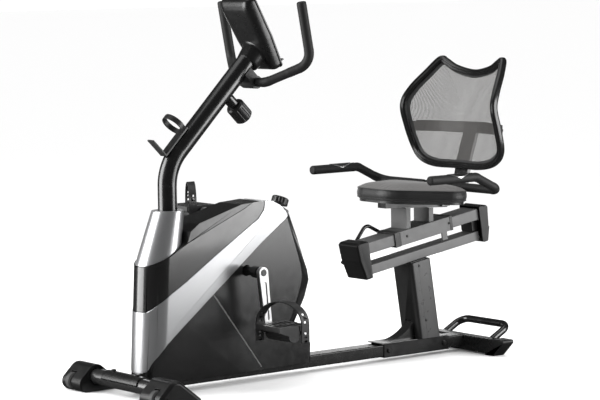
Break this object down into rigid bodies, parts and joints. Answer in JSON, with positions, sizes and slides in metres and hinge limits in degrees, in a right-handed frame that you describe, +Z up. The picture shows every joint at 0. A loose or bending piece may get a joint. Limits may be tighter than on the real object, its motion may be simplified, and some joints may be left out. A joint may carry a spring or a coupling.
{
  "type": "recumbent exercise bike",
  "caption": "Recumbent exercise bike with an enclosed belt drive, pedals with straps, a bent mast with console, and a sliding seat with a mesh back.",
  "frame": {"origin": "on the floor in the centre plane, halfway along the bike", "axes": "+X from the front foot to the rear foot, +Y to the rider's right, +Z up"},
  "size_m": [1.5816, 0.6314, 1.2247],
  "materials": {
    "black_steel": "gloss black powder coat",
    "lever_steel": "gloss black paint",
    "foot_plastic": "moulded black, fine grain",
    "wheel_plastic": "moulded black",
    "plain_steel": "zinc plated",
    "cover_plastic": "dark grey satin gloss",
    "band_plastic": "black to dark grey gloss",
    "silver_paint": "silver metallic paint",
    "crank_chrome": "plated",
    "pulley_plastic": "moulded black",
    "flywheel_iron": "turned iron",
    "belt_rubber": "ribbed rubber",
    "pedal_plastic": "moulded black",
    "strap_rubber": "soft black strap",
    "knob_plastic": "moulded black",
    "console_plastic": "gloss black",
    "screen_glass": "display window",
    "key_rubber": "soft keys",
    "foam": "closed-cell foam",
    "post_plastic": "moulded black",
    "grey_steel": "dark grey satin paint",
    "seat_plastic": "moulded black",
    "seat_vinyl": "dark grey grained vinyl",
    "pulse_chrome": "brushed contact plate",
    "back_plastic": "satin black",
    "back_net": "open woven net"
  },
  "bodies": {
    "frame": {"base_rail": "black_steel", "front_cross_tube": "black_steel", "front_caps": "foot_plastic", "wheel_axles": "plain_steel", "rear_cross_tube": "black_steel", "rear_caps": "foot_plastic", "rear_lift_handle": "black_steel", "drive_frame": "black_steel", "cover_left": "cover_plastic", "cover_right": "cover_plastic", "silver_shroud": "silver_paint", "dark_band": "band_plastic", "neck_collar": "silver_paint", "crank_bearings": "plain_steel", "flywheel_bracket": "black_steel", "flywheel_axle": "plain_steel", "drive_belt": "belt_rubber", "tension_cable": "belt_rubber", "mast": "black_steel", "bottle_cage": "knob_plastic", "handlebar": "black_steel", "handlebar_grips": "foam", "console_back": "console_plastic", "console_front": "console_plastic", "console_screen": "screen_glass", "seat_post": "black_steel", "post_covers": "post_plastic", "seat_rails": "grey_steel", "rail_cap_front": "post_plastic", "rail_cap_rear": "post_plastic", "frame_bolts": "plain_steel"},
    "left_wheel": {"transport_wheel_left": "wheel_plastic"},
    "right_wheel": {"transport_wheel_right": "wheel_plastic"},
    "crank": {"crank_axle": "lever_steel", "crank_pulley": "pulley_plastic", "crank_arm_left": "crank_chrome", "crank_arm_right": "crank_chrome", "pedal_spindles": "plain_steel"},
    "left_pedal": {"pedal_left": "pedal_plastic", "strap_left": "strap_rubber"},
    "right_pedal": {"pedal_right": "pedal_plastic", "strap_right": "strap_rubber"},
    "flywheel": {"flywheel": "flywheel_iron"},
    "dial": {"resistance_knob": "knob_plastic"},
    "brake": {"magnet_bracket": "plain_steel"},
    "clamp_knob": {"mast_knob": "knob_plastic"},
    "mode_key": {"mode_key": "key_rubber"},
    "set_key": {"set_key": "key_rubber"},
    "seat": {"carriage_sleeve": "grey_steel", "carriage_bushings": "post_plastic", "seat_frame": "black_steel", "seat_pan": "seat_plastic", "seat_cushion": "seat_vinyl", "side_handle": "black_steel", "side_grips": "foam", "pulse_plates": "pulse_chrome", "backrest_frame": "back_plastic", "backrest_mesh": "back_net", "seat_bolts": "plain_steel"},
    "lever": {"seat_lever": "lever_steel"}
  },
  "joints": [
    {"name": "left_wheel_spin", "type": "hinge", "parent": "frame", "child": "left_wheel", "pos_m": [-0.76375, -0.225, 0.03], "axis": [0, 1, 0], "continuous": true},
    {"name": "right_wheel_spin", "type": "hinge", "parent": "frame", "child": "right_wheel", "pos_m": [-0.76375, 0.225, 0.03], "axis": [0, 1, 0], "continuous": true},
    {"name": "crank_spin", "type": "hinge", "parent": "frame", "child": "crank", "pos_m": [-0.29375, 0, 0.361], "axis": [0, 1, 0], "continuous": true},
    {"name": "left_pedal_spin", "type": "hinge", "parent": "crank", "child": "left_pedal", "pos_m": [-0.27546, -0.211, 0.18696], "axis": [0, 1, 0], "continuous": true},
    {"name": "right_pedal_spin", "type": "hinge", "parent": "crank", "child": "right_pedal", "pos_m": [-0.31204, 0.211, 0.53504], "axis": [0, 1, 0], "continuous": true},
    {"name": "flywheel_spin", "type": "hinge", "parent": "frame", "child": "flywheel", "pos_m": [-0.40975, 0, 0.2], "axis": [0, 1, 0], "continuous": true},
    {"name": "dial_turn", "type": "hinge", "parent": "frame", "child": "dial", "pos_m": [-0.12275, 0, 0.543], "axis": [0.3746, 0, 0.9272], "range_deg": [0, 270]},
    {"name": "brake_lift", "type": "hinge", "parent": "frame", "child": "brake", "pos_m": [-0.40575, 0, 0.327], "axis": [0, 1, 0], "range_deg": [0, 6]},
    {"name": "clamp_turn", "type": "hinge", "parent": "frame", "child": "clamp_knob", "pos_m": [-0.33455, 0, 0.9212], "axis": [0.7071, 0, -0.7071], "range_deg": [0, 360]},
    {"name": "mode_press", "type": "slide", "parent": "frame", "child": "mode_key", "axis": [-0.866, 0, -0.5], "range_m": [0, 0.0015], "stiffness_N_per_m": 300},
    {"name": "set_press", "type": "slide", "parent": "frame", "child": "set_key", "axis": [-0.866, 0, -0.5], "range_m": [0, 0.0015], "stiffness_N_per_m": 300},
    {"name": "seat_slide", "type": "slide", "parent": "frame", "child": "seat", "axis": [0.9877, 0, 0.1564], "range_m": [-0.11, 0.095]},
    {"name": "lever_lift", "type": "hinge", "parent": "seat", "child": "lever", "pos_m": [0.37763, 0.06, 0.41106], "axis": [0, 1, 0], "range_deg": [0, 15], "stiffness_Nm_per_rad": 2, "springref_deg": -5.73}
  ],
  "couplings": [
    {"joint": "flywheel_spin", "follows": "crank_spin", "ratio": 6.25},
    {"joint": "brake_lift", "follows": "dial_turn", "ratio": 0.022222}
  ]
}
